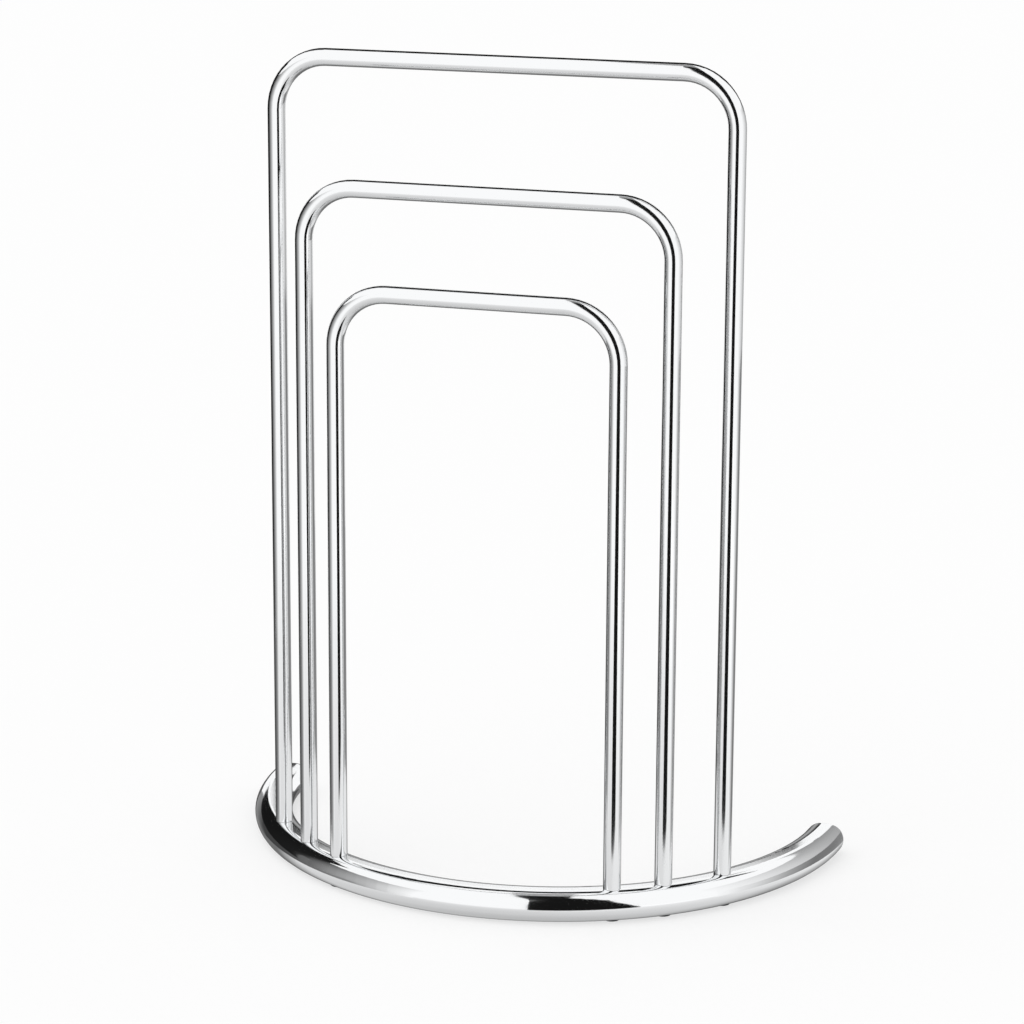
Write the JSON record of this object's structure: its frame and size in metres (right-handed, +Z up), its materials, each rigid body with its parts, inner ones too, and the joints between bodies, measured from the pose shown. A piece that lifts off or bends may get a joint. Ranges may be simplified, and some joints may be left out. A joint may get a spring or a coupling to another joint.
{
  "type": "towel stand",
  "caption": "Freestanding towel stand: nested upright hoops of bent round tube on a curved base of oval tube with rounded end caps, all chrome plated.",
  "frame": {"origin": "on the floor, under the middle of the overall box", "axes": "+Z up, +X along the towel bars, and the half-ring base bulges towards -Y, the front"},
  "size_m": [0.5798, 0.2899, 0.76],
  "materials": {
    "base_chrome": "bright chrome plate on bent oval steel tube",
    "cap_chrome": "bright chrome plate on a pressed cap",
    "hoop_chrome": "bright chrome plate on bent round steel tube",
    "zinc_steel": "zinc-plated steel fasteners",
    "foot_rubber": "moulded translucent grey rubber"
  },
  "bodies": {
    "root": {"base_tube": "base_chrome", "end_cap_left": "cap_chrome", "end_cap_right": "cap_chrome", "hoop_tall": "hoop_chrome", "hoop_middle": "hoop_chrome", "hoop_small": "hoop_chrome", "insert_tall_left": "zinc_steel", "washer_tall_left": "zinc_steel", "screw_tall_left": "zinc_steel", "insert_tall_right": "zinc_steel", "washer_tall_right": "zinc_steel", "screw_tall_right": "zinc_steel", "insert_middle_left": "zinc_steel", "washer_middle_left": "zinc_steel", "screw_middle_left": "zinc_steel", "insert_middle_right": "zinc_steel", "washer_middle_right": "zinc_steel", "screw_middle_right": "zinc_steel", "insert_small_left": "zinc_steel", "washer_small_left": "zinc_steel", "screw_small_left": "zinc_steel", "insert_small_right": "zinc_steel", "washer_small_right": "zinc_steel", "screw_small_right": "zinc_steel", "foot_tall_left": "foot_rubber", "foot_tall_right": "foot_rubber", "foot_middle_left": "foot_rubber", "foot_middle_right": "foot_rubber", "foot_small_left": "foot_rubber", "foot_small_right": "foot_rubber", "foot_end_left": "foot_rubber", "foot_end_right": "foot_rubber"}
  },
  "joints": []
}
